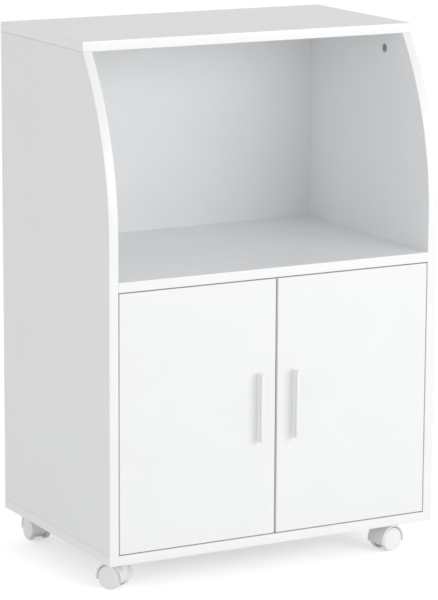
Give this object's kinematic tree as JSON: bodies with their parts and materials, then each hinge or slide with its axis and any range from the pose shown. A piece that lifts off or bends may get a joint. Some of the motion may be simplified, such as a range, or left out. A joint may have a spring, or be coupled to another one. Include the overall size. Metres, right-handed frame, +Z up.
{
  "type": "microwave cart",
  "caption": "Board cart on swivel casters with an open microwave bay above a cupboard with inset hinged doors and bar handles.",
  "frame": {"origin": "on the floor, under the middle of the whole cart's outline, handles included", "axes": "+X to the right seen from the front, +Y from the doors towards the back board, +Z up"},
  "size_m": [0.6, 0.422, 0.88],
  "materials": {
    "white_melamine": "white melamine-faced board, satin",
    "white_back_board": "white lacquered hardboard",
    "beech": "plain beech dowel",
    "zinc": "bare die-cast zinc",
    "steel": "bright zinc-plated steel",
    "nickel_steel": "nickel-plated pressed steel",
    "satin_handle": "satin brushed aluminium",
    "caster_steel": "zinc-plated steel",
    "white_hood": "moulded off-white plastic",
    "white_wheel": "moulded cool white plastic"
  },
  "bodies": {
    "carcass": {"left_side_panel": "white_melamine", "right_side_panel": "white_melamine", "top_panel": "white_melamine", "bottom_panel": "white_melamine", "microwave_shelf": "white_melamine", "back_panel": "white_back_board", "adjustable_shelf": "white_melamine", "shelf_pins": "steel", "cam_locks": "zinc", "cam_bolts": "steel", "dowels": "beech", "hinge_plate_screws": "steel", "hinge_arm_screws": "steel", "hinge_arm_pins": "steel", "caster_screws": "steel", "caster_king_pins": "steel", "left_lower_hinge_arm": "nickel_steel", "left_lower_hinge_plate": "nickel_steel", "left_upper_hinge_arm": "nickel_steel", "left_upper_hinge_plate": "nickel_steel", "right_lower_hinge_arm": "nickel_steel", "right_lower_hinge_plate": "nickel_steel", "right_upper_hinge_arm": "nickel_steel", "right_upper_hinge_plate": "nickel_steel", "front_left_caster_plate": "caster_steel", "front_right_caster_plate": "caster_steel", "rear_left_caster_plate": "caster_steel", "rear_right_caster_plate": "caster_steel"},
    "left_door_leaf": {"left_door": "white_melamine", "left_door_handle": "satin_handle", "left_handle_screws": "steel", "left_cup_screws": "steel", "left_cup_pins": "steel", "left_lower_hinge_cup": "nickel_steel", "left_upper_hinge_cup": "nickel_steel"},
    "left_link_pair": {"left_hinge_links": "nickel_steel"},
    "right_door_leaf": {"right_door": "white_melamine", "right_door_handle": "satin_handle", "right_handle_screws": "steel", "right_cup_screws": "steel", "right_cup_pins": "steel", "right_lower_hinge_cup": "nickel_steel", "right_upper_hinge_cup": "nickel_steel"},
    "right_link_pair": {"right_hinge_links": "nickel_steel"},
    "front_left_caster": {"front_left_caster_hood": "white_hood", "front_left_caster_axle": "caster_steel"},
    "front_left_roller_a": {"front_left_wheel_a": "white_wheel"},
    "front_left_roller_b": {"front_left_wheel_b": "white_wheel"},
    "front_right_caster": {"front_right_caster_hood": "white_hood", "front_right_caster_axle": "caster_steel"},
    "front_right_roller_a": {"front_right_wheel_a": "white_wheel"},
    "front_right_roller_b": {"front_right_wheel_b": "white_wheel"},
    "rear_left_caster": {"rear_left_caster_hood": "white_hood", "rear_left_caster_axle": "caster_steel"},
    "rear_left_roller_a": {"rear_left_wheel_a": "white_wheel"},
    "rear_left_roller_b": {"rear_left_wheel_b": "white_wheel"},
    "rear_right_caster": {"rear_right_caster_hood": "white_hood", "rear_right_caster_axle": "caster_steel"},
    "rear_right_roller_a": {"rear_right_wheel_a": "white_wheel"},
    "rear_right_roller_b": {"rear_right_wheel_b": "white_wheel"}
  },
  "joints": [
    {"name": "left_door_hinge", "type": "hinge", "parent": "carcass", "child": "left_door_leaf", "pos_m": [-0.276, -0.1848, 0.283], "axis": [0, 0, -1], "range_deg": [0, 105]},
    {"name": "left_link_pivot", "type": "hinge", "parent": "left_door_leaf", "child": "left_link_pair", "pos_m": [-0.2725, -0.18, 0.283], "axis": [0, 0, 1], "range_deg": [0, 121]},
    {"name": "right_door_hinge", "type": "hinge", "parent": "carcass", "child": "right_door_leaf", "pos_m": [0.276, -0.1848, 0.283], "axis": [0, 0, 1], "range_deg": [0, 105]},
    {"name": "right_link_pivot", "type": "hinge", "parent": "right_door_leaf", "child": "right_link_pair", "pos_m": [0.2725, -0.18, 0.283], "axis": [0, 0, -1], "range_deg": [0, 121]},
    {"name": "front_left_swivel", "type": "hinge", "parent": "carcass", "child": "front_left_caster", "pos_m": [-0.254, -0.139, 0.04], "axis": [0, 0, 1], "continuous": true},
    {"name": "front_left_wheel_a_spin", "type": "hinge", "parent": "front_left_caster", "child": "front_left_roller_a", "pos_m": [-0.26162, -0.12726, 0.02], "axis": [-0.8387, -0.5446, 0], "continuous": true},
    {"name": "front_left_wheel_b_spin", "type": "hinge", "parent": "front_left_caster", "child": "front_left_roller_b", "pos_m": [-0.26162, -0.12726, 0.02], "axis": [-0.8387, -0.5446, 0], "continuous": true},
    {"name": "front_right_swivel", "type": "hinge", "parent": "carcass", "child": "front_right_caster", "pos_m": [0.254, -0.139, 0.04], "axis": [0, 0, 1], "continuous": true},
    {"name": "front_right_wheel_a_spin", "type": "hinge", "parent": "front_right_caster", "child": "front_right_roller_a", "pos_m": [0.24031, -0.14191, 0.02], "axis": [0.2079, -0.9781, 0], "continuous": true},
    {"name": "front_right_wheel_b_spin", "type": "hinge", "parent": "front_right_caster", "child": "front_right_roller_b", "pos_m": [0.24031, -0.14191, 0.02], "axis": [0.2079, -0.9781, 0], "continuous": true},
    {"name": "rear_left_swivel", "type": "hinge", "parent": "carcass", "child": "rear_left_caster", "pos_m": [-0.254, 0.171, 0.04], "axis": [0, 0, 1], "continuous": true},
    {"name": "rear_left_wheel_a_spin", "type": "hinge", "parent": "rear_left_caster", "child": "rear_left_roller_a", "pos_m": [-0.25351, 0.18499, 0.02], "axis": [-0.9994, 0.0349, 0], "continuous": true},
    {"name": "rear_left_wheel_b_spin", "type": "hinge", "parent": "rear_left_caster", "child": "rear_left_roller_b", "pos_m": [-0.25351, 0.18499, 0.02], "axis": [-0.9994, 0.0349, 0], "continuous": true},
    {"name": "rear_right_swivel", "type": "hinge", "parent": "carcass", "child": "rear_right_caster", "pos_m": [0.254, 0.171, 0.04], "axis": [0, 0, 1], "continuous": true},
    {"name": "rear_right_wheel_a_spin", "type": "hinge", "parent": "rear_right_caster", "child": "rear_right_roller_a", "pos_m": [0.24188, 0.178, 0.02], "axis": [-0.5, -0.866, 0], "continuous": true},
    {"name": "rear_right_wheel_b_spin", "type": "hinge", "parent": "rear_right_caster", "child": "rear_right_roller_b", "pos_m": [0.24188, 0.178, 0.02], "axis": [-0.5, -0.866, 0], "continuous": true}
  ],
  "couplings": [
    {"joint": "left_link_pivot", "follows": "left_door_hinge", "ratio": 1.15},
    {"joint": "right_link_pivot", "follows": "right_door_hinge", "ratio": 1.15}
  ]
}
